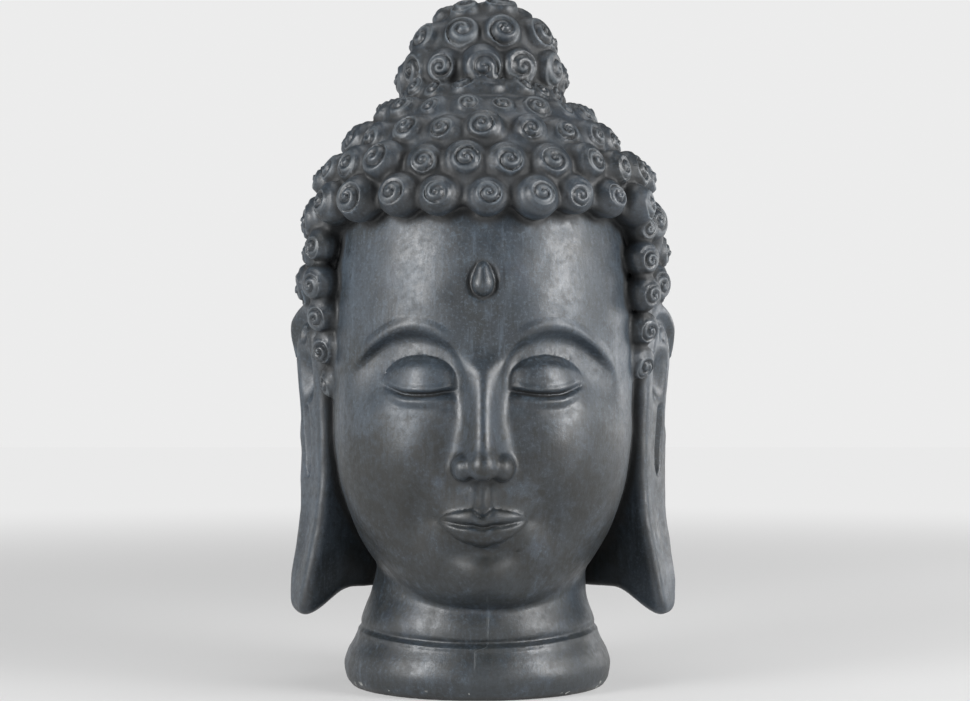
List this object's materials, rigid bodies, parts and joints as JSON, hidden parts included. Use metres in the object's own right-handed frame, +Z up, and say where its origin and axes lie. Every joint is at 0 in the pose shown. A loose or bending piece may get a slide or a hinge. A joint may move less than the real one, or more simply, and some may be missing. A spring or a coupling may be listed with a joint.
{
  "type": "stone buddha head",
  "caption": "Garden statue head of a calm Buddha with snail-curl hair, a crown knot and long pierced ears, on its own flared collar foot.",
  "frame": {"origin": "middle of the flat underside of the foot, on the surface the head stands on", "axes": "+Z up, -Y the way the face looks, +X the viewer's right when facing the statue"},
  "size_m": [0.3155, 0.3203, 0.5551],
  "materials": {
    "painted_stone": "satin"
  },
  "bodies": {
    "root": {"head": "painted_stone"}
  },
  "joints": []
}
